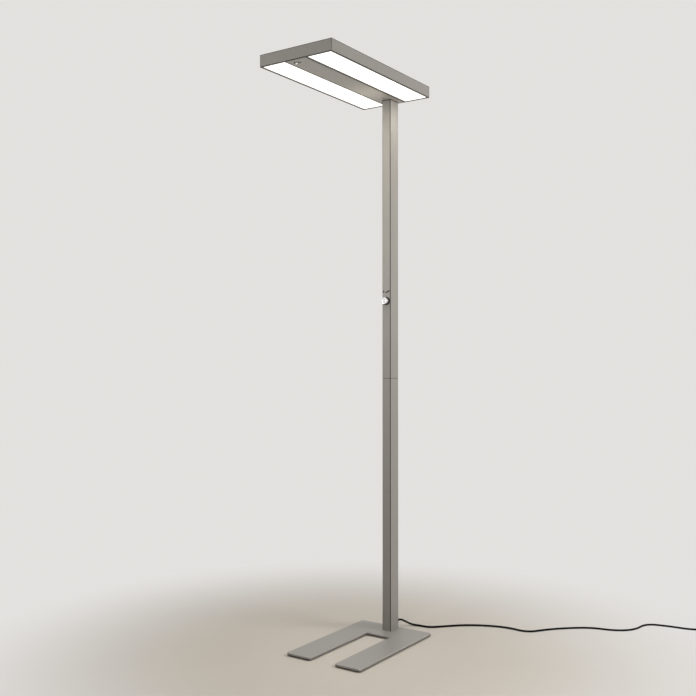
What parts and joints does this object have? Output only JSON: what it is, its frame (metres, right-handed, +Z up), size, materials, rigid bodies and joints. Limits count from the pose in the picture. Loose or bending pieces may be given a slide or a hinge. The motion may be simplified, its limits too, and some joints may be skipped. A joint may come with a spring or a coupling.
{
  "type": "office floor lamp",
  "caption": "Tall floor lamp: flat U-shaped base open to the front, two-part rectangular column with a turn-and-push dimmer, wide flat head lit below and above, mains cord with plug.",
  "frame": {"origin": "on the floor, under the middle of the lamp without its cord, which is the middle of the head", "axes": "+Z up along the column; -Y forwards, where the head and the base's legs point; +Y backwards, where the column stands and the cord leaves; +X to the right seen from the front"},
  "size_m": [1.1709, 1.2434, 1.95],
  "materials": {
    "painted_steel": "satin",
    "painted_aluminium": "satin",
    "bare_aluminium": "satin",
    "zinc_steel": "satin",
    "black_steel": "satin",
    "knob_chrome": "gloss",
    "pin_nickel": "gloss",
    "black_plastic": "matte",
    "grey_plastic": "matte",
    "white_plastic": "satin",
    "smoked_plastic": "gloss",
    "lit_opal": "satin",
    "circuit_board": "satin",
    "black_cord": "satin",
    "pad_rubber": "matte"
  },
  "bodies": {
    "stand": {"base_plate": "painted_steel", "base_feet": "pad_rubber", "base_screws": "zinc_steel", "lower_column": "painted_aluminium", "upper_column": "painted_aluminium", "column_splice": "bare_aluminium", "splice_screws": "black_steel", "column_cap": "black_plastic", "dimmer_bezel": "black_plastic", "dimmer_body": "grey_plastic", "dimmer_nut": "zinc_steel", "rail_right": "painted_aluminium", "rail_left": "painted_aluminium", "rail_front": "painted_aluminium", "rail_back": "painted_aluminium", "corner_cleats": "zinc_steel", "centre_beam": "painted_aluminium", "stud_nuts": "zinc_steel", "top_cover": "painted_aluminium", "cover_screws": "black_steel", "end_brackets": "zinc_steel", "bracket_screws": "zinc_steel", "head_plate": "zinc_steel", "head_screws": "black_steel", "lower_diffuser_right": "lit_opal", "lower_diffuser_left": "lit_opal", "upper_diffuser_right": "lit_opal", "upper_diffuser_left": "lit_opal", "led_tray_right": "bare_aluminium", "led_tray_left": "bare_aluminium", "lower_led_board_right": "circuit_board", "lower_led_board_left": "circuit_board", "upper_led_board_right": "circuit_board", "upper_led_board_left": "circuit_board", "board_wires": "white_plastic", "led_driver": "white_plastic", "terminal_block": "white_plastic", "driver_lead": "white_plastic", "sensor_bezel": "white_plastic", "sensor_lens": "white_plastic", "daylight_sensor": "smoked_plastic", "status_light": "smoked_plastic", "sensor_board": "circuit_board", "sensor_lead": "grey_plastic", "inner_lead": "white_plastic", "control_lead": "grey_plastic", "cord_gland": "black_plastic", "mains_cord": "black_cord", "cord_coil": "black_cord", "coil_tie": "black_plastic", "plug_body": "black_plastic", "plug_pins": "pin_nickel", "plug_clips": "pin_nickel"},
    "plunger": {"switch_plunger": "white_plastic"},
    "knob": {"dimmer_knob": "knob_chrome", "dimmer_shaft": "zinc_steel", "knob_screw": "black_steel"}
  },
  "joints": [
    {"name": "dimmer_push", "type": "slide", "parent": "stand", "child": "plunger", "axis": [0, 1, 0], "range_m": [0, 0.001], "stiffness_N_per_m": 2000},
    {"name": "dimmer_turn", "type": "hinge", "parent": "plunger", "child": "knob", "pos_m": [0, 0.225, 1.188], "axis": [0, 1, 0], "range_deg": [-140, 140]}
  ]
}
